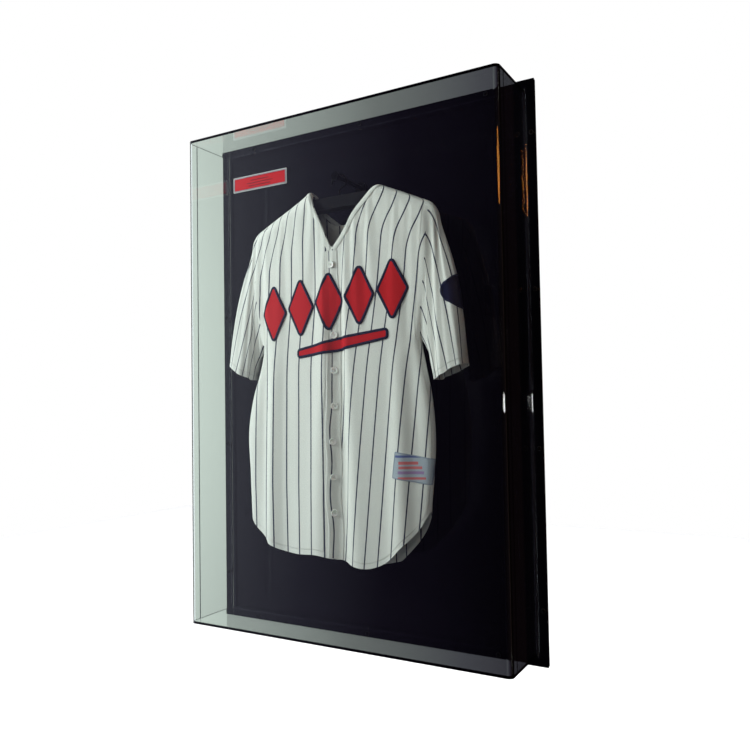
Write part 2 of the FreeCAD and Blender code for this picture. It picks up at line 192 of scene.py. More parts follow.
def black_acrylic():
    """Cast black sheet, polished, with a slight ripple, fine scuffs and a little dust."""
    g = Graph("black_acrylic")
    spot = g.spot()
    ripple = g.noise(spot, 5.0, 1.0)
    scuffs = g.noise(g.scaled(spot, (30.0, 30.0, 260.0)), 1.0, 5.0)
    dust = g.band(g.noise(spot, 420.0, 2.0), 0.78, 0.84)
    colour = g.blend(dust, (0.0012, 0.0010, 0.0018), (0.02, 0.02, 0.022))
    roughness = g.add("MapRange", {"Value": scuffs, "To Min": 0.01, "To Max": 0.06}).outputs[0]
    normal = g.bump(ripple, 0.0006)
    return g.finish(g.surface(colour, roughness, Normal=normal, IOR=1.49))


def metal(name, colour, roughness, brushed=(200.0, 2000.0, 2000.0), wear=0.35):
    """Bare or plated metal, brushed along x, duller in patches."""
    g = Graph(name)
    spot = g.spot()
    lines = g.noise(g.scaled(spot, brushed), 1.0, 4.0)
    patches = g.noise(spot, 35.0, 4.0)
    shade = g.blend(g.band(patches, 0.35, 0.75), colour, shaded(colour, 1 - wear))
    rough = g.math("MULTIPLY_ADD", lines, 0.22, roughness)
    return g.finish(g.surface(shade, rough, Metallic=1.0, Normal=g.bump(lines, 0.00004, 0.6)))


def moulded(name, colour, roughness, grain=0.00006, scale=1500.0):
    """Moulded plastic, foam or rubber with a fine grain."""
    g = Graph(name)
    spot = g.spot()
    fine = g.noise(spot, scale, 3.0)
    broad = g.noise(spot, 60.0, 3.0)
    pale = tuple(min(1.0, channel * 1.6 + 0.001) for channel in colour)
    shade = g.blend(g.band(broad, 0.45, 0.8), colour, pale)
    rough = g.math("MULTIPLY_ADD", fine, 0.2, roughness)
    return g.finish(g.surface(shade, rough, Normal=g.bump(fine, grain, 0.7)))


PLATE_MARGIN = 0.0024
PLATE_RULES = ((0.0055, 0.026), (-0.001, 0.038), (-0.0075, 0.032))
RULE_HALF = 0.0008


def engraved_plate():
    """Red anodised plate with three plain engraved rules and brushing along its length."""
    g = Graph("red_plate")
    low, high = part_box("nameplate")
    centre = (low + high) / 2
    spot = g.spot()
    x, _, z = g.split(spot)
    across = g.math("ABSOLUTE", g.math("SUBTRACT", x, centre.x))
    height = g.math("SUBTRACT", z, centre.z)
    rules = None
    for level, reach in PLATE_RULES:
        line = g.within(height, level, RULE_HALF)
        line = g.math("MULTIPLY", line, g.math("LESS_THAN", across, reach))
        rules = line if rules is None else g.math("MAXIMUM", rules, line)
    brush = g.noise(g.scaled(spot, (60.0, 60.0, 3200.0)), 1.0, 3.0)
    red = g.blend(brush, (0.50, 0.004, 0.006), (0.66, 0.012, 0.012))
    colour = g.blend(rules, red, (0.10, 0.003, 0.004))
    beyond = g.math("SUBTRACT", across, (high.x - low.x) / 2 - PLATE_MARGIN)
    above = g.math("SUBTRACT", g.math("ABSOLUTE", height), (high.z - low.z) / 2 - PLATE_MARGIN)
    margin = g.math("GREATER_THAN", g.math("MAXIMUM", beyond, above), 0.0)
    colour = g.blend(margin, colour, (0.55, 0.55, 0.55))
    normal = g.bump(g.math("SUBTRACT", 1.0, rules), 0.00015)
    return g.finish(g.surface(colour, 0.28, Metallic=0.15, Normal=normal, Coat_Weight=0.3))


STRIPE_PITCH = 0.0315
STRIPE_WIDTH = 0.0031
STRIPE_BLUR = 0.0003
HEM_WIDTH = 0.011
STITCHES_PER_METRE = 300.0
NAVY = (0.018, 0.022, 0.060)
WHITE = (0.80, 0.80, 0.77)


def knit(g, spot):
    """Height of a fine double knit, from the flat cut's coordinates."""
    u, v, _ = g.split(spot)
    return g.math("MULTIPLY", g.wave(u, 0.0013), g.wave(v, 0.0010))


def jersey_cloth(name, striped=True):
    """Warm white knit, with navy pinstripes that follow the cut and a row of stitches by each edge."""
    g = Graph(name)
    spot = g.spot("UV")
    u, v, _ = g.split(spot)
    heather = g.noise(spot, 900.0, 2.0)
    broad = g.noise(spot, 9.0, 3.0)
    colour = g.blend(broad, WHITE, shaded(WHITE, 0.93))
    colour = g.blend(g.band(heather, 0.35, 0.75), colour, shaded(WHITE, 0.88))
    if striped:
        waver = g.math("MULTIPLY_ADD", g.noise(spot, 260.0, 2.0), 0.0006, -0.0003)
        phase = g.math("PINGPONG", g.math("ADD", u, waver), STRIPE_PITCH / 2)
        beyond = g.band(phase, STRIPE_WIDTH / 2 - STRIPE_BLUR, STRIPE_WIDTH / 2 + STRIPE_BLUR)
        colour = g.blend(g.math("SUBTRACT", 1.0, beyond), colour, NAVY)
    edge = g.add("Attribute", attribute_name="edge_distance").outputs["Fac"]
    run = g.math("FRACT", g.math("MULTIPLY", g.math("ADD", u, v), STITCHES_PER_METRE))
    stitch = g.math("MULTIPLY", g.within(edge, HEM_WIDTH, 0.0007), g.math("LESS_THAN", run, 0.62))
    colour = g.blend(g.math("MULTIPLY", stitch, 0.35), colour, (0.55, 0.54, 0.50))
    weave = g.bump(knit(g, spot), 0.00010, 0.6)
    fold = g.bump(g.band(edge, 0.0095, 0.0125), 0.0007, 0.8, weave)
    normal = g.bump(stitch, 0.0005, 1.0, fold)
    return g.finish(g.surface(colour, 0.82, Normal=normal, Sheen_Weight=0.22, Sheen_Roughness=0.45))


def twill(name, colour, dark):
    """Tackle twill: diagonal ribs and a faint shine."""
    g = Graph(name)
    x, _, z = g.split(g.spot())
    ribs = g.wave(g.math("ADD", x, z), 0.0016)
    threads = g.noise(g.spot(), 1100.0, 3.0)
    shade = g.blend(g.band(threads, 0.3, 0.8), colour, dark)
    normal = g.bump(ribs, 0.00016, 0.7)
    return g.finish(g.surface(shade, 0.6, Normal=normal, Specular_IOR_Level=0.2))


def satin_stitch(name, colour, dark):
    """Close zigzag embroidery: threads lie across the border, by its own running coordinate."""
    g = Graph(name)
    spot = g.spot("UV")
    lean = g.noise(g.scaled(spot, (700.0, 60.0, 1.0)), 1.0, 3.0)
    shade = g.blend(g.band(lean, 0.3, 0.75), colour, dark)
    normal = g.bump(g.wave(g.split(spot)[0], 0.0011), 0.00022, 0.9)
    return g.finish(g.surface(shade, 0.5, Normal=normal, Specular_IOR_Level=0.3))


def woven_label(name, ground, rules, size):
    """Woven label with plain bars: each rule has its level, half height, start, end and colour, in shares."""
    g = Graph(name)
    spot = g.spot("UV")
    u, v, _ = g.split(spot)
    cells = g.scaled(spot, (size.x / 0.0007, size.z / 0.0005, 1.0))
    columns, rows, _ = g.split(cells)
    weave = g.math("MULTIPLY", g.wave(columns, 2.0), g.wave(rows, 2.0))
    colour = g.blend(g.noise(cells, 0.4, 2.0), ground, shaded(ground, 0.8))
    for level, half, start, end, tone in rules:
        wide = g.within(u, (start + end) / 2, (end - start) / 2)
        colour = g.blend(g.math("MULTIPLY", g.within(v, level, half), wide), colour, tone)
    return g.finish(g.surface(colour, 0.6, Normal=g.bump(weave, 0.0001, 0.6), Sheen_Weight=0.2))


def pearl():
    """Pearly polyester button."""
    g = Graph("button_pearl")
    clouds = g.noise(g.scaled(g.spot(), (300.0, 300.0, 120.0)), 1.0, 2.0)
    shade = g.blend(clouds, (0.90, 0.89, 0.85), (0.78, 0.77, 0.76))
    return g.finish(g.surface(shade, 0.22, Coat_Weight=0.6, Coat_Roughness=0.1,
                              Subsurface_Weight=0.1, Subsurface_Scale=0.002))


def thread():
    g = Graph("thread")
    twist = g.noise(g.spot(), 3000.0, 2.0)
    shade = g.blend(twist, (0.74, 0.73, 0.69), (0.60, 0.59, 0.56))
    return g.finish(g.surface(shade, 0.7, Normal=g.bump(twist, 0.00005)))


# ---- mesh helpers -------------------------------------------------------------------------------
def show(name, mesh, material):
    """A mesh as an object in the scene, smooth and with its material."""
    mesh.materials.append(material)
    mesh.polygons.foreach_set("use_smooth", [True] * len(mesh.polygons))
    mesh.update()
    piece = bpy.data.objects.new(name, mesh)
    bpy.context.scene.collection.objects.link(piece)
    return piece


def new_piece(name, points, faces, material):
    """A piece from world points in metres."""
    mesh = bpy.data.meshes.new(name)
    mesh.from_pydata([tuple(p) for p in points], [], [tuple(int(i) for i in f) for f in faces])
    return show(name, mesh, material)


def form_piece(name, form, material):
    """A piece from a bmesh, which is freed."""
    mesh = bpy.data.meshes.new(name)
    form.to_mesh(mesh)
    form.free()
    return show(name, mesh, material)


def join(name, pieces):
    """Several pieces as one."""
    form = bmesh.new()
    for piece in pieces:
        form.from_mesh(piece.data)
    joined = form_piece(name, form, pieces[0].data.materials[0])
    for piece in pieces:
        bpy.data.objects.remove(piece)
    return joined


def edit(piece, *changes):
    """Makes changes to a piece's mesh in its bmesh form."""
    form = bmesh.new()
    form.from_mesh(piece.data)
    for change in changes:
        change(form)
    form.to_mesh(piece.data)
    form.free()
    piece.data.update()


def weld(form):
    """Joins points that share a place."""
    bmesh.ops.remove_doubles(form, verts=form.verts, dist=1e-6)


def face_viewer(form):
    """Turns all faces over if most of them look away from the viewer."""
    total = Vector()
    for face in form.faces:
        total += face.normal * face.calc_area()
    if total.y > 0:
        bmesh.ops.reverse_faces(form, faces=form.faces)


TRIMS = {"front_left": [], "back": [], "sleeve_right": []}


def settle(piece, slot, *nodes, sewn_to=None):
    """Puts a piece on the garment, with the CAD nodes it stands for and the panel it trims; the slot is not
    used.
    """
    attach(piece, "garment")
    if nodes:
        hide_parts(*nodes)
    if sewn_to:
        TRIMS[sewn_to].append(piece)


def give_uvs(piece, corner_uvs):
    """Sets the piece's flat coordinates from one (u, v) per face corner."""
    layer = piece.data.uv_layers.new(name="flat_cut")
    layer.data.foreach_set("uv", np.array(corner_uvs, np.float32).ravel())


def laid_piece(name, points, faces, uvs, material, *changes):
    """A one-layer piece that faces the viewer, with flat coordinates from one (u, v) per point."""
    piece = new_piece(name, points, faces, material)
    give_uvs(piece, [uvs[loop.vertex_index] for loop in piece.data.loops])
    edit(piece, *changes, face_viewer)
    return piece


def apply_modifiers(piece):
    """Turns the piece's modifiers into mesh."""
    bpy.context.view_layer.update()
    graph = bpy.context.evaluated_depsgraph_get()
    mesh = bpy.data.meshes.new_from_object(piece.evaluated_get(graph), depsgraph=graph)
    piece.modifiers.clear()
    old = piece.data
    piece.data = mesh
    bpy.data.meshes.remove(old)


def grid_faces(rows, columns):
    """Quads of a grid of rows x columns points in row order."""
    return [(r * columns + c, r * columns + c + 1, (r + 1) * columns + c + 1, (r + 1) * columns + c)
            for r in range(rows - 1) for c in range(columns - 1)]


def smooth_curve(points, where):
    """Heights at where on a smooth curve through (place, height) points, which are in rising order."""
    xs = np.array([p[0] for p in points], float)
    ys = np.array([p[1] for p in points], float)
    slopes = np.gradient(ys, xs) if len(xs) > 2 else np.full(len(xs), (ys[1] - ys[0]) / (xs[1] - xs[0]))
    where = np.clip(np.asarray(where, float), xs[0], xs[-1])
    k = np.clip(np.searchsorted(xs, where) - 1, 0, len(xs) - 2)
    width = xs[k + 1] - xs[k]
    t = (where - xs[k]) / width
    return ((2 * t**3 - 3 * t**2 + 1) * ys[k] + (t**3 - 2 * t**2 + t) * width * slopes[k]
            + (3 * t**2 - 2 * t**3) * ys[k + 1] + (t**3 - t**2) * width * slopes[k + 1])


def smoothstep(value):
    value = np.clip(value, 0.0, 1.0)
    return value * value * (3 - 2 * value)


def running_length(points):
    """Length along a line of points from its start to each of them."""
    return np.concatenate([[0.0], np.cumsum(np.linalg.norm(np.diff(points, axis=0), axis=1))])


def right_normals(line):
    """Unit normals to the right of a line of (x, z) points."""
    slope = np.gradient(line, axis=0)
    slope /= np.linalg.norm(slope, axis=1, keepdims=True)
    return np.column_stack([slope[:, 1], -slope[:, 0]])


def outward_normals(outline):
    """Unit normals of a closed outline of (x, z) points, pointing out of it."""
    along = np.roll(outline, -1, 0) - np.roll(outline, 1, 0)
    normals = np.column_stack([along[:, 1], -along[:, 0]])
    normals /= np.linalg.norm(normals, axis=1, keepdims=True)
    after = np.roll(outline, -1, 0)
    area = np.sum(outline[:, 0] * after[:, 1] - after[:, 0] * outline[:, 1])
    return normals if area > 0 else -normals


def closed(outline):
    """The outline with its first point again at its end."""
    return np.vstack([outline, outline[:1]])


# ---- the shirt's outline, in millimetres ---------------------------------------------------------
LEFT_SIDE = [(-300, -249), (-200, -252), (-91, -252), (-30, -237), (30, -211), (75, -198), (110, -199),
             (200, -211), (318, -203)]
RIGHT_SIDE = [(-250, 205), (-190, 211), (-110, 215), (-30, 207), (30, 193), (65, 186), (100, 187),
              (200, 199), (325, 206)]
HEM_LINE = [(-249, -286), (-228, -310), (-190, -333), (-140, -348), (-80, -353), (0, -356), (32, -362),
            (64, -368), (100, -361), (132, -345), (152, -328), (176, -302), (191, -279), (205, -246)]
LEFT_ARMPIT_Z = 75.0
RIGHT_ARMPIT_Z = 70.0
LEFT_TIP = (-203.0, 318.0)
RIGHT_TIP = (206.0, 325.0)
LEFT_NECK = (-60.0, 385.0)
RIGHT_NECK = (97.0, 375.0)
V_POINT = (-3.0, 252.0)
LEFT_SHOULDER_LINE = [LEFT_TIP, (-160, 336), (-110, 358), (-78, 374), LEFT_NECK]
RIGHT_SHOULDER_LINE = [RIGHT_NECK, (128, 361), (165, 344), RIGHT_TIP]
LEFT_NECKLINE = [LEFT_NECK, (-45, 345), (-28, 309), V_POINT]
RIGHT_NECKLINE = [V_POINT, (21, 280), (45, 317), (76, 349), RIGHT_NECK]
BACK_NECKLINE = [LEFT_NECK, (-55, 345), (-38, 320), (-5, 312), (35, 320), (70, 343), RIGHT_NECK]
FRONT_DEPTH = 30.0
BACK_DEPTH = 27.0
SHOULDER_FALL = 62.0
ARMHOLE_DEPTH = 24.0
COLUMNS = (18, 7, 15, 15)
ROWS = 86
SLEEVE_RINGS = 30
LEFT_CUFF = ((-301.0, 33.0), (-241.0, 4.0))
RIGHT_CUFF = ((287.0, 16.0), (221.0, -8.0))
CUFF_FRONT = 32.0
CUFF_BACK = 44.0
ROW_SPREAD = 1.22
PANELS = ("front_left", "front_right", "back", "sleeve_left", "sleeve_right")
BODY_START_U = 14.0
SLEEVE_START_U = 12.0


def left_edge(z):
    return smooth_curve(LEFT_SIDE, z)


def right_edge(z):
    return smooth_curve(RIGHT_SIDE, z)


def share_across(x, z):
    """How far x is across the body at height z, from 0 at the left edge to 1 at the right one."""
    return (x - left_edge(z)) / (right_edge(z) - left_edge(z))


def shoulder_line(x):
    """Height of the shoulder seams at x, or None between the neck points."""
    if x < LEFT_NECK[0]:
        return float(smooth_curve(LEFT_SHOULDER_LINE, x))
    if x > RIGHT_NECK[0]:
        return float(smooth_curve(RIGHT_SHOULDER_LINE, x))
    return None


def top_line(x, necklines):
    """Height of the shirt's top edge at x, along shoulders and neckline."""
    height = shoulder_line(x)
    if height is None:
        height = float(smooth_curve(next(part for part in necklines if x <= part[-1][0]), x))
    return height


def ridge_line(x):
    """Height of the line that the shoulders run along, carried across the neck."""
    height = shoulder_line(x)
    if height is None:
        height = float(np.interp(x, (LEFT_NECK[0], RIGHT_NECK[0]), (LEFT_NECK[1], RIGHT_NECK[1])))
    return height


def column_shares():
    """Shares across the body of the grid's columns, with one at each neck point and one at the V."""
    keys = [0.0] + [float(share_across(*p)) for p in (LEFT_NECK, V_POINT, RIGHT_NECK)] + [1.0]
    shares = [0.0]
    for start, end, count in zip(keys, keys[1:], COLUMNS):
        shares += [start + (end - start) * (k + 1) / count for k in range(count)]
    return shares


def meet(share, line, guess):
    """Height where the column at share meets a line given as a height for each x."""
    z = guess
    for _ in range(12):
        x = float(left_edge(z) * (1 - share) + right_edge(z) * share)
        z = 0.5 * z + 0.5 * float(line(x))
    return z


def hem_lift(x, side):
    """How far the hem rises: the front rides up by the placket and at the right, so the back shows below."""
    if side > 0:
        return -3.0 * math.exp(-((x + 40) / 60.0) ** 2) - 7.0 * math.exp(-((x - 140) / 38.0) ** 2)
    return 5.0 * math.exp(-((x + 58) / 26.0) ** 2) + 9.0 * math.exp(-((x - 150) / 30.0) ** 2)


def folds(x, z, side):
    """Soft hanging folds, deeper towards the hem, in millimetres towards the outside."""
    low = smoothstep((250.0 - z) / 520.0)
    wave = (math.sin(x / 31.0 + side * 1.3 + z / 260.0) + 0.6 * math.sin(x / 17.0 - z / 190.0 + side * 2.1)
            + 0.5 * math.sin(x / 52.0 + z / 120.0 + 0.7 * side))
    return 2.2 * low * wave


def half_depth(share, x, z, edge, full):
    """Depth from the middle plane: full across the chest, edge at the sides, closing over the shoulders."""
    crown = max(0.0, 1 - abs(2 * share - 1) ** 3.2) ** 0.5
    below = max(0.0, ridge_line(x) - z) / SHOULDER_FALL
    close = 1.0 if below >= 1 else max(0.0, 1 - (1 - below) ** 3) ** (1 / 3)
    return (edge + (full - edge) * crown) * close


def armhole_depth(z, armpit, tip):
    """How far the armhole's edge stands off the middle plane at height z."""
    t = (z - armpit) / (tip - armpit)
    if t <= 0 or t >= 1:
        return 0.0
    return ARMHOLE_DEPTH * math.sin(math.pi * t) ** 0.4


def cuff_points(cuff, turn):
    """Points of a cuff, at angles that turn from its outer end over the front."""
    outer, inner = np.array(cuff[0]), np.array(cuff[1])
    centre, reach = (outer + inner) / 2, (outer - inner) / 2
    cosine, sine = np.cos(turn), np.sin(turn)
    wide = np.sign(cosine) * abs(cosine) ** 0.8
    deep = np.where(sine > 0, -CUFF_FRONT, CUFF_BACK) * abs(sine) ** 0.8
    return np.column_stack([centre[0] + reach[0] * wide, deep, centre[1] + reach[1] * wide])


def sleeve_ring(armhole, cuff_ring, turn, t, column):
    """The sleeve's ring at share t of the way to the cuff: fuller on top, with folds that grow with t."""
    outward = -1.0 if column == 0 else 1.0
    cosine = np.cos(turn)
    top = np.clip(cosine, 0, 1)
    swell = math.sin(math.pi * t)
    ease = t + 0.10 * swell
    ring = armhole * (1 - t) + cuff_ring * t
    ring[:, 1] = armhole[:, 1] * (1 - ease) + cuff_ring[:, 1] * ease
    ring[:, 0] += outward * (26.0 * math.sin(math.pi * t ** 0.75)) * top ** 1.5
    ring[:, 2] += 9.0 * swell * top
    ring[:, 0] += outward * 5.0 * swell * np.clip(-cosine, 0, 1)
    ring[:, 1] += np.sin(turn * 3 + t * 5 + column) * 2.0 * t * abs(np.sin(turn))
    return ring


def flat_place(x, depth, z, across, panel):
    """Where a point lies on the flat cut, in metres: pinstripes run along v and lean at the shoulders."""
    below = ridge_line(x) - z
    low = smoothstep((200.0 - z) / 200.0)
    lean, spread = 0.0, 1.0
    if panel == "front_left":
        outer = max(0.0, (LEFT_NECK[0] + 20 - x) / (LEFT_NECK[0] - LEFT_TIP[0]))
        lean = 44.0 * outer * smoothstep(1 - below / 110.0) - 13.0 * low
        spread = 0.955 + 0.105 * min(1.0, max(0.0, (z + 212.0) / 457.0))
    elif panel == "front_right":
        lean = 34.0 * smoothstep(1 - below / 120.0) ** 1.4 + 0.095 * (min(z, 260.0) + 200.0) - 8.0 * low
        spread = 1.16
    return ((across - lean) * spread + BODY_START_U) * MM, (z + abs(depth) * 0.6) * MM


class Garment:
    """The shirt as one mesh of panels that share their seams."""

    def __init__(self):
        self.points = []
        self.faces = []
        self.panels = []
        self.flat = []
        self.shares = column_shares()
        self.last = len(self.shares) - 1
        self.neck_left = COLUMNS[0]
        self.v_column = COLUMNS[0] + COLUMNS[1]
        self.neck_right = self.v_column + COLUMNS[2]
        self.front = self.body_panel(-1)
        self.back = self.body_panel(1)
        self.sleeve(0, LEFT_CUFF, "sleeve_left")
        self.sleeve(self.last, RIGHT_CUFF, "sleeve_right")

    def shared(self, column, row):
        """True where the front's and the back's grid points are one: side seams and shoulder seams."""
        if column in (0, self.last) and row <= self.armpit_row[column]:
            return True
        return row == ROWS and (column <= self.neck_left or column >= self.neck_right)

    def flat_grid(self, side):
        """A body panel's points on the middle plane, in rows from the hem up to the top edge."""
        necklines = (LEFT_NECKLINE, RIGHT_NECKLINE) if side < 0 else (BACK_NECKLINE,)
        places = np.zeros((ROWS + 1, self.last + 1, 3))
        for c, share in enumerate(self.shares):
            low = meet(share, lambda x: smooth_curve(HEM_LINE, x) + hem_lift(x, side), -370.0)
            high = meet(share, lambda x: top_line(x, necklines), 340.0)
            for r in range(ROWS + 1):
                z = high + (low - high) * (1 - r / ROWS) ** ROW_SPREAD
                places[r, c] = (float(left_edge(z) * (1 - share) + right_edge(z) * share), 0.0, z)
        return places

    def depth_at(self, places, r, c, side):
        """How far the point at row r and column c stands off the middle plane."""
        share = self.shares[c]
        x, _, z = places[r, c]
        end = 0 if share < 0.5 else self.last
        depth = edge = armhole_depth(z, places[self.armpit_row[end], end, 2], places[ROWS, end, 2])
        if c not in (0, self.last):
            depth = half_depth(share, x, z, edge, FRONT_DEPTH if side < 0 else BACK_DEPTH)
        inside = min(1.0, 6 * share, 6 * (1 - share))
        return depth + folds(x, z, side) * inside * min(1.0, depth / 12.0)

    def body_panel(self, side):
        """Grid of the front (side -1) or the back (side 1); returns the points' numbers by row."""
        places = self.flat_grid(side)
        if side < 0:
            armpits = {0: LEFT_ARMPIT_Z, self.last: RIGHT_ARMPIT_Z}
            self.armpit_row = {c: int(np.argmin(abs(places[:, c, 2] - z))) for c, z in armpits.items()}
        numbers = np.zeros(places.shape[:2], int)
        for c in range(self.last + 1):
            for r in range(ROWS + 1):
                places[r, c, 1] = side * self.depth_at(places, r, c, side)
                if self.shared(c, r):
                    if side > 0:
                        numbers[r, c] = self.front[r, c]
                        continue
                    places[r, c, 1] = 0.0
                numbers[r, c] = len(self.points)
                self.points.append(tuple(places[r, c]))
        self.body_faces(numbers, places, side)
        return numbers

    def body_faces(self, numbers, places, side):
        """Faces and flat coordinates of a body panel."""
        rows, columns = numbers.shape
        steps = np.linalg.norm(np.diff(places[:, :, :2], axis=1), axis=2)
        run = np.concatenate([np.zeros((rows, 1)), np.cumsum(steps, axis=1)], axis=1)
        start = run[:, self.v_column] - (places[:, self.v_column, 0] - V_POINT[0])
        across = run - start[:, None]
        for r in range(rows - 1):
            for c in range(columns - 1):
                corners = [(r, c), (r, c + 1), (r + 1, c + 1), (r + 1, c)]
                panel = "front_left" if c < self.v_column else "front_right"
                if side > 0:
                    corners.reverse()
                    panel = "back"
                self.faces.append([numbers[k] for k in corners])
                self.panels.append(PANELS.index(panel))
                self.flat.append([flat_place(*places[k], across[k], panel) for k in corners])

    def sleeve(self, column, cuff, panel):
        """A tube lofted from the armhole to the cuff, with flat coordinates round and along the arm."""
        rows = range(ROWS, self.armpit_row[column] - 1, -1)
        loop = [self.front[r, column] for r in rows]
        loop += [self.back[r, column] for r in reversed(rows)][1:-1]
        count = len(loop)
        armhole = np.array([self.points[n] for n in loop], float)
        split = len(rows) - 1
        turn = np.array([math.pi * k / split if k <= split
                         else math.pi * (1 + (k - split) / (count - split)) for k in range(count)])
        cuff_ring = cuff_points(cuff, turn)
        cuff_run, armhole_run = running_length(closed(cuff_ring)), running_length(closed(armhole))
        around = (cuff_run + armhole_run) / 2
        around[-1] = around[-2] + cuff_run[-1] - cuff_run[-2]
        rings = [loop]
        lengths = [np.zeros(count)]
        previous = armhole
        for k in range(1, SLEEVE_RINGS + 1):
            ring = sleeve_ring(armhole, cuff_ring, turn, k / SLEEVE_RINGS, column)
            lengths.append(lengths[-1] + np.linalg.norm(ring - previous, axis=1))
            rings.append(range(len(self.points), len(self.points) + count))
            self.points += [tuple(p) for p in ring]
            previous = ring
        for k in range(SLEEVE_RINGS):
            for c in range(count):
                corners = [(k, c), (k, c + 1), (k + 1, c + 1), (k + 1, c)]
                if column == 0:
                    corners.reverse()
                self.faces.append([rings[a][b % count] for a, b in corners])
                self.panels.append(PANELS.index(panel))
                self.flat.append([((around[b] + SLEEVE_START_U) * MM, -lengths[a][b % count] * MM)
                                  for a, b in corners])


def build_garment(garment):
    """The whole shirt as one mesh whose material numbers are the panels' numbers."""
    cut = bpy.data.materials.new("cut")
    piece = new_piece("garment_cut", to_world(garment.points), garment.faces, cut)
    for _ in PANELS[1:]:
        piece.data.materials.append(cut)
    piece.data.polygons.foreach_set("material_index", garment.panels)
    give_uvs(piece, [uv for face in garment.flat for uv in face])
    return piece


def panel_areas(piece):
    """Flat area of each panel's cut in square metres, from the cut before it hangs."""
    areas = [0.0] * len(PANELS)
    for polygon in piece.data.polygons:
        areas[polygon.material_index] += polygon.area
    return areas


SIM_FRAMES = 34
CLOTH = {
    "quality": 6, "mass": 0.22, "air_damping": 4.0, "tension_stiffness": 18.0, "compression_stiffness": 18.0,
    "shear_stiffness": 6.0, "bending_stiffness": 0.35, "tension_damping": 8.0, "compression_damping": 8.0,
    "shear_damping": 6.0, "bending_damping": 0.6, "vertex_group_mass": "held", "pin_stiffness": 0.6,
    "shrink_min": -0.032,
}
LOOSE_HOLD = 0.035
ARMHOLE_HOLD = 0.25
HELD_ROWS = 4


def hold_weights(garment):
    """How firmly points are held: fully at shoulders and neck, some at the armholes, hardly below."""
    weights = np.array([max(LOOSE_HOLD, 1.0 - float(smoothstep((ridge_line(x) - z - 14.0) / 34.0)))
                        for x, _, z in garment.points])
    for grid in (garment.front, garment.back):
        weights[grid[-HELD_ROWS:, garment.neck_left:garment.neck_right + 1]] = 1.0
        for column, row in garment.armpit_row.items():
            armhole = grid[row:, column]
            weights[armhole] = np.maximum(weights[armhole], ARMHOLE_HOLD)
    return weights


def hang(piece, garment):
    """Lets the shirt hang and crease under its own weight, held by the hanger at the shoulders."""
    group = piece.vertex_groups.new(name="held")
    for n, weight in enumerate(hold_weights(garment)):
        group.add([n], float(weight), "REPLACE")
    cloth = piece.modifiers.new("cloth", "CLOTH")
    for key, value in CLOTH.items():
        setattr(cloth.settings, key, value)
    cloth.collision_settings.use_collision = False
    cloth.collision_settings.use_self_collision = False
    scene = bpy.context.scene
    for span in (scene, cloth.point_cache):
        span.frame_start = 1
        span.frame_end = SIM_FRAMES
    for number in range(1, SIM_FRAMES + 1):
        scene.frame_set(number)
    apply_modifiers(piece)
    scene.frame_set(1)


MOVE_CAP = 16.0
STILL_DEPTH = 40.0
FRONT_LIMIT = -39.0
BACK_LIMIT = 58.0


def cap_moves(piece, garment):
    """Keeps each point near its place on the cut, and clear of the pane, the panel and the hanger."""
    rest = to_world(garment.points)
    now = np.zeros(len(rest) * 3)
    piece.data.vertices.foreach_get("co", now)
    now = now.reshape(-1, 3)
    move = now - rest
    length = np.maximum(np.linalg.norm(move, axis=1, keepdims=True), 1e-9)
    cap = MOVE_CAP * MM
    move *= cap * np.tanh(length / cap) / length
    below = np.array([ridge_line(x) - z for x, _, z in garment.points])
    move *= smoothstep(below / STILL_DEPTH)[:, None]
    now = rest + move
    now[:, 1] = np.clip(now[:, 1], MID_Y + FRONT_LIMIT * MM, MID_Y + BACK_LIMIT * MM)
    piece.data.vertices.foreach_set("co", now.ravel())
    piece.data.update()


EDGE_REACH = 0.03


def store_edge_distance(piece):
    """Writes how far each point is from its panel's edge, for the rows of stitches."""
    mesh = piece.data
    form = bmesh.new()
    form.from_mesh(mesh)
    edge_points = [v for v in form.verts if any(e.is_boundary for e in v.link_edges)]
    distance = {v: 0.0 for v in edge_points}
    front = edge_points
    while front:
        reached = []
        for vertex in front:
            for edge in vertex.link_edges:
                other = edge.other_vert(vertex)
                length = distance[vertex] + edge.calc_length()
                if length < EDGE_REACH and length < distance.get(other, 1.0) - 1e-6:
                    distance[other] = length
                    reached.append(other)
        front = reached
    values = [distance.get(v, EDGE_REACH) for v in form.verts]
    form.free()
    attribute = mesh.attributes.new("edge_distance", "FLOAT", "POINT")
    attribute.data.foreach_set("value", values)


def cut_panel(whole, index, name, material):
    """One panel of the hanging shirt as its own mesh, still one layer."""
    mesh = whole.data
    picked = [p for p in mesh.polygons if p.material_index == index]
    numbers = {}
    for polygon in picked:
        for n in polygon.vertices:
            numbers.setdefault(n, len(numbers))
    points = [mesh.vertices[n].co.copy() for n in numbers]
    faces = [[numbers[n] for n in polygon.vertices] for polygon in picked]
    piece = new_piece(name, points, faces, material)
    source = mesh.uv_layers[0].data
    give_uvs(piece, [source[k].uv[:] for polygon in picked for k in polygon.loop_indices])
    store_edge_distance(piece)
    return piece


CLOTH_THICKNESS = 0.0009


def thicken(piece):
    """Gives a one-layer piece its thickness, inwards, with crisp rims."""
    solid = piece.modifiers.new("thickness", "SOLIDIFY")
    solid.thickness = CLOTH_THICKNESS
    solid.offset = -1.0
    apply_modifiers(piece)
    piece.data.set_sharp_from_angle(angle=math.radians(50))


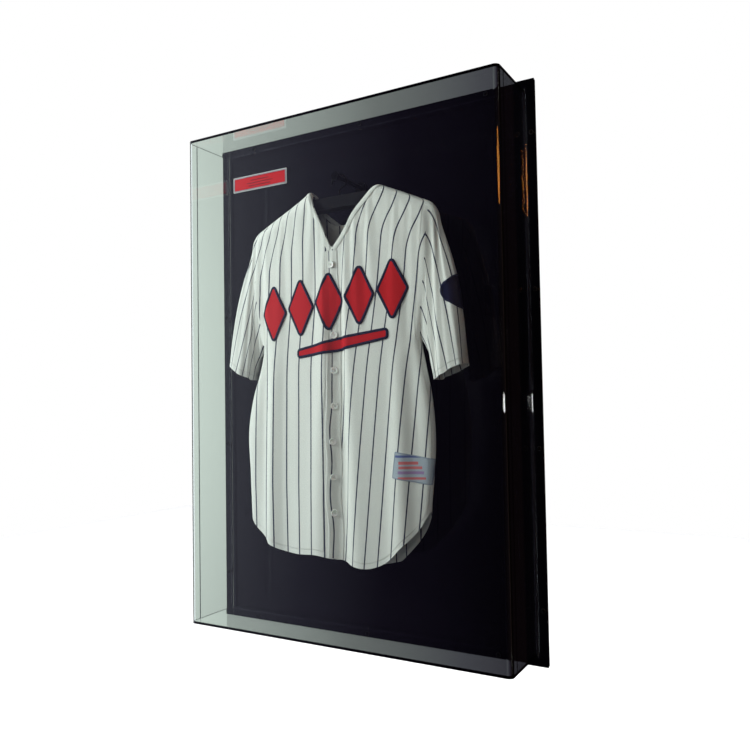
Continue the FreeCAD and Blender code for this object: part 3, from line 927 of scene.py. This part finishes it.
# ---- pieces that lie on the cloth ----------------------------------------------------------------
class Lie:
    """Finds places on cloth that is already hanging, by looking at it along one direction."""

    def __init__(self, pieces, direction=(0.0, 1.0, 0.0)):
        points, faces = [], []
        for piece in pieces:
            base = len(points)
            points += [v.co.copy() for v in piece.data.vertices]
            faces += [[base + n for n in p.vertices] for p in piece.data.polygons]
        self.tree = BVHTree.FromPolygons(points, faces)
        self.direction = Vector(direction).normalized()
        self.right = self.direction.cross(Vector((0, 0, 1))).normalized()

    def hit(self, point):
        """Where the line of sight through point meets the cloth, or the nearest cloth if it misses."""
        found = self.tree.ray_cast(point - self.direction * 0.5, self.direction)[0]
        return found or self.tree.find_nearest(point)[0]

    def place(self, x, z, lift, middle_x=0.0):
        """World point lifted off the cloth at x, z in millimetres, x counted across the line of sight."""
        centre = Vector(to_world((middle_x, 0.0, z)))
        at = centre + self.right * ((x - middle_x) * MM)
        reach = 0.004
        here = self.hit(at)
        a = self.hit(at + self.right * reach)
        b = self.hit(at - self.right * reach)
        c = self.hit(at + Vector((0, 0, reach)))
        d = self.hit(at - Vector((0, 0, reach)))
        normal = (c - d).cross(a - b)
        if normal.length < 1e-9:
            normal = -self.direction
        normal.normalize()
        if normal.dot(self.direction) > 0:
            normal.negate()
        if normal.dot(-self.direction) < 0.35:
            normal = (-self.direction * 0.8 + normal * 0.4).normalized()
        return here + normal * lift * MM


SLICE_STEP = 3.0
CORD_PROFILE = [(0.0, 0.0), (0.12, 0.6), (0.32, 0.92), (0.5, 1.0), (0.68, 0.92), (0.88, 0.6), (1.0, 0.0)]
BAND_PROFILE = [(-0.5, -0.35), (-0.49, 0.55), (-0.45, 1.0), (-0.36, 0.62), (-0.33, 0.62), (-0.22, 1.0),
                (0.0, 1.05), (0.22, 1.0), (0.33, 0.62), (0.36, 0.62), (0.45, 1.0), (0.49, 0.55), (0.5, -0.35)]


def laid_slices(name, lie, outline, lift, material, middle_x=0.0, unit=False):
    """A flat patch of cloth on the shirt, in upright slices from its left end to its right one.

    Its flat coordinates run in metres from its lower left corner, or from 0 to 1 if unit is true.
    """
    low, high = outline.min(0), outline.max(0)
    count = max(6, int((high[0] - low[0]) / SLICE_STEP))
    across = max(4, int((high[1] - low[1]) / SLICE_STEP))
    edge = closed(outline)
    span = high - low if unit else (1 / MM, 1 / MM)
    points, uvs = [], []
    for x in np.linspace(low[0] + 0.05, high[0] - 0.05, count):
        crossings = [za + (zb - za) * (x - xa) / (xb - xa) for (xa, za), (xb, zb) in zip(edge, edge[1:])
                     if (xa - x) * (xb - x) <= 0 and xa != xb]
        for z in np.linspace(min(crossings), max(crossings), across):
            points.append(lie.place(x, z, lift, middle_x))
            uvs.append(((x - low[0]) / span[0], (z - low[1]) / span[1]))
    return laid_piece(name, points, grid_faces(count, across), uvs, material)


def laid_border(name, lie, outlines, inner, outer, lift, height, material, middle_x=0.0):
    """Rounded cords of satin stitch along closed outlines, from inner to outer on their way out."""
    points, faces, uvs = [], [], []
    for outline in outlines:
        base = len(points)
        run = running_length(closed(outline))
        for across, rise in CORD_PROFILE:
            ring = closed(grown(outline, inner + (outer - inner) * across))
            for (x, z), along in zip(ring, run):
                points.append(lie.place(x, z, lift + height * rise, middle_x))
                uvs.append((along * MM, across * (outer - inner) * MM))
        faces += [tuple(base + n for n in face) for face in grid_faces(len(CORD_PROFILE), len(run))]
    return laid_piece(name, points, faces, uvs, material, weld)


def laid_band(name, lie, line, width, material, lift=0.5, height=0.9, flat_u=0.0, stretch=1.0):
    """A folded band of cloth along a line of (x, z) points, with a rounded edge on both sides."""
    points, uvs = [], []
    for share, rise in BAND_PROFILE:
        side = line + right_normals(line) * share * width
        for (x, z), along in zip(side, running_length(line)):
            points.append(lie.place(x, z, lift + height * rise))
            uvs.append(((flat_u + share * width * stretch) * MM, along * MM))
    return laid_piece(name, points, grid_faces(len(BAND_PROFILE), len(line)), uvs, material)


# ---- finishes for the CAD nodes -----------------------------------------------------------------
def finish_frame():
    """Gives every rigid CAD node its finish."""
    even = (900.0, 900.0, 900.0)
    looks = [
        (clear_acrylic(), "cover_front cover_side_right cover_side_left cover_top cover_bottom"),
        (black_acrylic(), "back_panel"),
        (metal("rail_aluminium", (0.78, 0.79, 0.80), 0.28), "wall_rail panel_rail"),
        (metal("black_steel", (0.014, 0.014, 0.015), 0.42, even),
         "rail_bolts cover_screws hanger_peg hanger_hook"),
        (metal("zinc_steel", (0.66, 0.67, 0.69), 0.3, even), "rail_nuts peg_bolt"),
        (metal("insert_brass", (0.72, 0.52, 0.22), 0.32, even), "panel_inserts"),
        (metal("silver_line", (0.80, 0.80, 0.81), 0.25), "nameplate_rim"),
        (moulded("bumper_rubber", (0.018, 0.018, 0.019), 0.72), "wall_bumpers"),
        (moulded("black_nylon", (0.0035, 0.0035, 0.004), 0.42), "cover_washers hanger_bar"),
        (moulded("foam_tape", (0.09, 0.09, 0.09), 0.85, 0.0002, 900.0), "nameplate_tape"),
        (engraved_plate(), "nameplate"),
    ]
    for material, nodes in looks:
        for node in nodes.split():
            NODES[node].data.materials.clear()
            NODES[node].data.materials.append(material)


# ---- stage --------------------------------------------------------------------------------------
CAMERA_AT = (0.807, -1.373, -0.307)
CAMERA_TURN = (92.260, 0.959, 29.908)
CAMERA_LENS = 35.55
FLOOR_DROP = 0.75
FLOOR_HALF = 6.0
FLOOR_POINTS = 13


def make_camera():
    data = bpy.data.cameras.new("camera")
    data.lens = CAMERA_LENS
    data.sensor_width = 36.0
    data.clip_start = 0.05
    data.clip_end = 100.0
    camera = bpy.data.objects.new("camera", data)
    camera.location = CAMERA_AT
    camera.rotation_euler = [math.radians(angle) for angle in CAMERA_TURN]
    bpy.context.scene.collection.objects.link(camera)
    bpy.context.scene.camera = camera


def area_light(name, place, target, size, power, colour=(1.0, 1.0, 1.0), height=None, mirrored=False):
    """A soft rectangular lamp. A mirrored one only shows in polished faces, and the rest only light."""
    data = bpy.data.lights.new(name, "AREA")
    data.shape = "ELLIPSE" if mirrored else "RECTANGLE"
    data.size = size
    data.size_y = height or size
    data.energy = power
    data.color = colour
    lamp = bpy.data.objects.new(name, data)
    lamp.location = place
    lamp.rotation_mode = "QUATERNION"
    lamp.rotation_quaternion = (Vector(target) - Vector(place)).to_track_quat("-Z", "Y")
    lamp.visible_camera = lamp.visible_transmission = False
    lamp.visible_glossy = mirrored
    lamp.visible_diffuse = not mirrored
    bpy.context.scene.collection.objects.link(lamp)


BEHIND_SHARE = 0.12
HEIGHT_SHARE = 0.07
ROOM = [(-1.0, (0.020, 0.014, 0.012)), (-0.3, (0.006, 0.003, 0.003)), (0.20, (0.003, 0.002, 0.004)),
        (0.36, (0.026, 0.022, 0.034)), (0.46, (0.09, 0.09, 0.107)), (0.58, (0.225, 0.24, 0.235)),
        (0.78, (0.74, 0.82, 0.76)), (1.0, (0.82, 0.90, 0.82))]
FRONT_TINT = (1.45, 1.40, 1.8)


def make_world():
    """White behind the object, and a dim room with one light side for what the acrylic shows."""
    g = Graph("world", "worlds")
    x, y, z = g.split(g.spot("Generated"))
    level = g.math("MULTIPLY_ADD", z, HEIGHT_SHARE, g.math("MULTIPLY", x, -1.0))
    level = g.math("MULTIPLY_ADD", y, BEHIND_SHARE, level)
    level = g.add("MapRange", {"Value": level, "From Min": -1.0, "From Max": 1.0}).outputs[0]
    ramp = g.add("ValToRGB", {0: level})
    elements = ramp.color_ramp.elements
    while len(elements) < len(ROOM):
        elements.new(0.5)
    for element, (position, colour) in zip(elements, ROOM):
        element.position = (position + 1.0) / 2.0
        element.color = (*colour, 1.0)
    shade = g.blend(g.math("LESS_THAN", y, 0.0), ramp.outputs[0], FRONT_TINT, "MULTIPLY")
    room = g.add("Background", {"Color": shade}).outputs[0]
    white = g.add("Background", {"Color": (1.0, 1.0, 1.0)}).outputs[0]
    seen = g.add("LightPath").outputs["Is Camera Ray"]
    mixed = g.add("MixShader", {0: seen, 1: room, 2: white}).outputs[0]
    bpy.context.scene.world = g.finish(mixed, "OutputWorld")


def make_floor():
    """Plain pale floor well below the hanging frame."""
    g = Graph("floor")
    cloud = g.noise(g.spot(), 1.5, 2.0)
    shade = g.blend(cloud, (0.93, 0.93, 0.93), (0.90, 0.90, 0.90))
    level = CAD_BOX[0].z - FLOOR_DROP
    ticks = [FLOOR_HALF * (2 * k / (FLOOR_POINTS - 1) - 1) for k in range(FLOOR_POINTS)]
    points = [(x, y, level) for y in ticks for x in ticks]
    faces = grid_faces(FLOOR_POINTS, FLOOR_POINTS)
    floor = new_piece("floor", points, faces, g.finish(g.surface(shade, 0.9)))
    floor.visible_glossy = floor.visible_diffuse = floor.visible_transmission = False
    area_light("floor_wash", (0.0, 0.0, level + 0.4), (0.0, 0.0, level), 2.2 * FLOOR_HALF, 560.0)


def make_stage():
    make_camera()
    make_world()
    make_floor()
    centre = (0.0, -0.1, MID_Z)
    area_light("key", (-1.8, -1.5, 0.8), centre, 1.4, 81.0, (0.97, 1.0, 0.985))
    area_light("fill", (0.0, -2.6, 0.0), centre, 1.6, 16.0, (1.0, 0.985, 0.96))
    area_light("back", (1.6, 2.4, 0.9), centre, 1.6, 70.0)
    bend = (0.36, -0.15, 0.0)
    area_light("amber_glint", (1.27, -0.95, 0.49), bend, 0.9, 5.0, (1.0, 0.36, 0.06), 0.26, mirrored=True)
    area_light("white_glint", (1.30, -0.90, -0.31), bend, 0.9, 3.0, (1.0, 1.0, 1.0), 0.07, mirrored=True)


# ---- assembly -----------------------------------------------------------------------------------
def make_shirt():
    """Cuts, hangs and dresses the shirt."""
    garment = Garment()
    whole = build_garment(garment)
    areas = panel_areas(whole)
    hang(whole, garment)
    cap_moves(whole, garment)
    finer = whole.modifiers.new("finer", "SUBSURF")
    finer.levels = 1
    apply_modifiers(whole)
    striped = jersey_cloth("jersey_cloth")
    panels = {}
    for index, panel in enumerate(PANELS):
        panels[panel] = cut_panel(whole, index, panel + "_cloth", striped)
    bpy.data.objects.remove(whole)
    dress(panels)
    for panel, piece in panels.items():
        thicken(piece)
        settle(piece, "jersey_cloth", "jersey_" + panel)


LOZENGES = 5
LOZENGE_HALF = (29.0, 57.0)
LOZENGE_STEP = (71.0, 7.0)
OUTLINE_STEP = 2.0


def rounded(corners, radius, step=OUTLINE_STEP):
    """A closed outline through corners in millimetres, each rounded, as evenly spaced points."""
    corners = [np.array(c, float) for c in corners]
    points = []
    for before, corner, after in zip(corners[-1:] + corners, corners, corners[1:] + corners[:1]):
        back = (before - corner) / np.linalg.norm(before - corner)
        ahead = (after - corner) / np.linalg.norm(after - corner)
        half = math.acos(max(-1.0, min(1.0, float(np.dot(back, ahead))))) / 2
        cut = radius / math.tan(half)
        for t in np.linspace(0, 1, 7):
            start, end = corner + back * cut, corner + ahead * cut
            points.append((1 - t) ** 2 * start + 2 * t * (1 - t) * corner + t * t * end)
    points = closed(np.array(points))
    run = running_length(points)
    at = np.linspace(0, run[-1], int(run[-1] / step), endpoint=False)
    return np.column_stack([np.interp(at, run, points[:, 0]), np.interp(at, run, points[:, 1])])


def grown(outline, by):
    """The outline moved outwards by a distance."""
    return outline + outward_normals(outline) * by


def chest_outlines():
    """The five lozenges that rise across the chest."""
    low, high = local_box("chest_applique")
    half_x, half_z = LOZENGE_HALF
    shapes = []
    for k in range(LOZENGES):
        x = low.x + half_x + LOZENGE_STEP[0] * k
        z = high.z - half_z - LOZENGE_STEP[1] * (LOZENGES - 1 - k)
        shapes.append(rounded([(x - half_x, z), (x, z - half_z), (x + half_x, z), (x, z + half_z)], 4.0))
    return shapes


# The bar's middle line, and its depth below and above that line at each distance from its left end.
BAR_ENDS = ((-86.0, 44.0), (118.0, 74.0))
BAR_DEPTHS = ((0.0, 5.0, 6.0), (52.0, 7.0, 7.0), (92.0, 9.0, 10.0), (204.0, 6.0, 7.0))


def bar_outline():
    """The slanted bar below the lozenges, a little deeper past its middle."""
    (x0, z0), (x1, z1) = BAR_ENDS
    rise = (z1 - z0) / (x1 - x0)
    lower = [(x0 + run, z0 + rise * run - below) for run, below, _ in BAR_DEPTHS]
    upper = [(x0 + run, z0 + rise * run + above) for run, _, above in reversed(BAR_DEPTHS)]
    return rounded(lower + upper, 3.0)


def placket_line(fronts):
    """Points down the placket from the V to the hem, which sway more towards the hem."""
    heights = np.linspace(V_POINT[1] - 4, lowest(fronts, V_POINT[0], 14.0) + 1.0, 170)
    drop = V_POINT[1] - heights
    sway = 3.0 * np.sin(drop / 95.0) * smoothstep(drop / 160.0)
    sway += 1.8 * np.sin(drop / 21.0) * smoothstep((drop - 250.0) / 120.0)
    return np.column_stack([V_POINT[0] + sway, heights])


def chest(lie, navy, navy_thread):
    """Red shapes on a wider navy backing, with a stitched navy border."""
    red = twill("red_twill", (0.56, 0.018, 0.022), (0.44, 0.012, 0.016))
    shapes = chest_outlines() + [bar_outline()]
    layers = (("chest_applique", "red_twill", red, 0.0, 1.6), ("chest_backing", "navy_twill", navy, 4.0, 0.8))
    for node, slot, material, wider, lift in layers:
        parts = [laid_slices(f"{node}_{k}", lie, grown(shape, wider), lift, material)
                 for k, shape in enumerate(shapes)]
        settle(join(node + "_cloth", parts), slot, node, sewn_to="front_left")
    border = laid_border("chest_border_stitch", lie, shapes, -1.2, 5.0, 0.9, 1.5, navy_thread)
    settle(border, "navy_twill", sewn_to="front_left")


def dress(panels):
    """Puts the placket, applique, buttons, tag, patch, collar and label on the hanging cloth."""
    fronts = [panels["front_left"], panels["front_right"]]
    lie = Lie(fronts)
    line = placket_line(fronts)
    placket = laid_band("placket_cloth", lie, line, 28.0, panels["front_left"].data.materials[0],
                        flat_u=-7.5, stretch=1.5)
    settle(placket, "jersey_cloth", "jersey_placket", sewn_to="front_left")
    over_placket = Lie(fronts + [placket])
    navy = twill("navy_twill", (0.012, 0.014, 0.040), (0.008, 0.009, 0.028))
    navy_thread = satin_stitch("navy_satin_stitch", (0.014, 0.017, 0.050), (0.009, 0.010, 0.030))
    chest(over_placket, navy, navy_thread)
    buttons(over_placket, line)
    tag(lie)
    patch(panels["sleeve_right"], navy, navy_thread)
    collar(lie)
    neck_label(panels["back"])


def lowest(pieces, x, reach):
    """Height in millimetres of the cloth's lowest point within reach of x."""
    return min((v.co.z - MID_Z) / MM for piece in pieces for v in piece.data.vertices
               if abs(v.co.x / MM - x) < reach)


BUTTON_HEIGHTS = [220.0] + [78.0 - 71.0 * k for k in range(6)]
BUTTON_RADIUS = 7.6
BUTTON_PROFILE = [(0.32, 1.5), (0.55, 1.7), (0.72, 2.4), (0.86, 2.7), (0.96, 2.4), (1.0, 1.6), (0.96, 0.6)]
THREAD_WIDTH = 0.5
HOLE_OFF = 1.5


def bridge(form, rings):
    """Faces between rings of points, which all have the same number of points."""
    for first, second in zip(rings, rings[1:]):
        for k in range(len(first)):
            after = (k + 1) % len(first)
            form.faces.new([first[k], second[k], second[after], first[after]])


def turned(count):
    """Cosines and sines of evenly spaced angles round a circle."""
    angles = [2 * math.pi * k / count for k in range(count)]
    return [(math.cos(angle), math.sin(angle)) for angle in angles]


def button_form(form, centre, normal, side, up):
    """One dished button with a rolled rim."""
    rings = []
    for share, rise in BUTTON_PROFILE:
        at, radius = centre + normal * rise * MM, share * BUTTON_RADIUS * MM
        rings.append([form.verts.new(at + (side * cosine + up * sine) * radius)
                      for cosine, sine in turned(40)])
    form.faces.new(rings[0])
    bridge(form, rings)


def stitch_form(form, start, end, normal):
    """One short sewn loop, arched off the button."""
    across = (end - start).normalized().cross(normal).normalized()
    rings = []
    for t in np.linspace(0, 1, 7):
        at = start.lerp(end, t) + normal * (0.5 * math.sin(math.pi * t)) * MM
        rings.append([form.verts.new(at + (across * cosine + normal * sine) * THREAD_WIDTH * MM)
                      for cosine, sine in turned(8)])
    bridge(form, rings)


def buttons(lie, line):
    """Seven pearl buttons down the placket, each sewn on with crossed thread."""
    shell, sewing = bmesh.new(), bmesh.new()
    for z in BUTTON_HEIGHTS:
        x = float(np.interp(-z, -line[:, 1], line[:, 0]))
        centre = lie.place(x, z, 0.0)
        normal = (lie.place(x, z, 1.0) - centre).normalized()
        side = normal.cross(Vector((0, 0, 1))).normalized()
        up = side.cross(normal).normalized()
        button_form(shell, centre, normal, side, up)
        for slant in (1, -1):
            hole = (side + up * slant) * HOLE_OFF * MM
            face = centre + normal * HOLE_OFF * MM
            stitch_form(sewing, face + hole, face - hole, normal)
    for name, form, material, nodes in (("pearl_buttons", shell, pearl(), ["jersey_buttons"]),
                                        ("button_thread", sewing, thread(), [])):
        bmesh.ops.recalc_face_normals(form, faces=form.faces)
        settle(form_piece(name, form, material), "button_pearl", *nodes, sewn_to="front_left")


TAG_GROUND = (0.44, 0.50, 0.58)
TAG_RED = (0.62, 0.16, 0.17)
TAG_RULES = [(0.86, 0.035, 0.10, 0.92, (0.10, 0.13, 0.34)), (0.66, 0.045, 0.18, 0.62, TAG_RED),
             (0.52, 0.040, 0.18, 0.72, TAG_RED), (0.37, 0.045, 0.16, 0.76, (0.34, 0.22, 0.42)),
             (0.20, 0.035, 0.16, 0.80, TAG_RED)]
LABEL_CORNER = 1.0
LABEL_STEP = 1.6
NECK_GROUND = (0.62, 0.63, 0.64)
NECK_RULES = [(0.5, 0.1, 0.2, 0.8, (0.08, 0.10, 0.26))]


def tag(lie):
    """Woven tag near the hem at the right, leaning with the cloth, with a sewn edge."""
    low, high = local_box("hem_tag")
    left, right = low.x + 3.0, high.x + 3.0
    corners = [(left, low.z + 13), (right - 7, low.z), (right, high.z - 14), (left + 7, high.z)]
    outline = rounded(corners, LABEL_CORNER, LABEL_STEP)
    material = woven_label("label_cloth", TAG_GROUND, TAG_RULES, (high - low) * MM)
    piece = laid_slices("hem_tag_cloth", lie, outline, 1.0, material, unit=True)
    settle(piece, "label_cloth", "hem_tag", sewn_to="front_left")
    edge = satin_stitch("tag_stitch", (0.36, 0.41, 0.50), (0.26, 0.30, 0.38))
    border = laid_border("hem_tag_stitch", lie, [outline], -2.0, 0.4, 0.7, 0.7, edge)
    settle(border, "label_cloth", sewn_to="front_left")


PATCH_WRAP = 9.0
PATCH_SHIFT = 13.0
PATCH_SIGHT = (-0.90, 0.44, 0.0)


def patch(sleeve, navy, navy_thread):
    """Plain round navy patch on the right sleeve, with an embroidered rim."""
    low, high = local_box("sleeve_patch")
    x, z = (low.x + high.x) / 2, (low.z + high.z) / 2
    radius = (high.z - low.z) / 2 + PATCH_WRAP
    lie = Lie([sleeve], PATCH_SIGHT)
    circle = np.array([(x + PATCH_SHIFT + radius * cosine, z + radius * sine) for cosine, sine in turned(72)])
    piece = laid_slices("sleeve_patch_cloth", lie, circle, 1.2, navy, middle_x=x)
    settle(piece, "navy_twill", "sleeve_patch", sewn_to="sleeve_right")
    rim = laid_border("sleeve_patch_stitch", lie, [circle], -3.2, 0.4, 0.8, 1.2, navy_thread, middle_x=x)
    settle(rim, "navy_twill", sewn_to="sleeve_right")


COLLAR_OFF = 5.5


def collar(lie):
    """Narrow bound neckline: a strip down each side of the V."""
    plain = jersey_cloth("jersey_trim_cloth", striped=False)
    strips = []
    for neckline in (LEFT_NECKLINE, RIGHT_NECKLINE):
        xs = np.linspace(neckline[0][0], neckline[-1][0], 200)
        line = np.column_stack([xs, smooth_curve(neckline, xs)])
        run = running_length(line)
        at = np.linspace(2.0, run[-1] - 1.0, 60)
        line = np.column_stack([np.interp(at, run, line[:, k]) for k in (0, 1)])
        line += right_normals(line) * COLLAR_OFF
        strips.append(laid_band("collar_strip", lie, line, 9.0, plain, lift=0.4, height=0.8))
    settle(join("collar_cloth", strips), "jersey_cloth", "jersey_collar", sewn_to="front_left")


def neck_label(back):
    """Small woven label inside the back of the neck."""
    low, high = local_box("neck_label")
    material = woven_label("neck_label_cloth_weave", NECK_GROUND, NECK_RULES, (high - low) * MM)
    corners = [(low.x, low.z), (high.x, low.z), (high.x, high.z), (low.x, high.z)]
    outline = rounded(corners, LABEL_CORNER, LABEL_STEP)
    piece = laid_slices("neck_label_cloth", Lie([back]), outline, 0.6, material, unit=True)
    settle(piece, "label_cloth", "neck_label", sewn_to="back")


make_stage()
finish_frame()
make_shirt()
bpy.context.scene.view_settings.view_transform = "Standard"
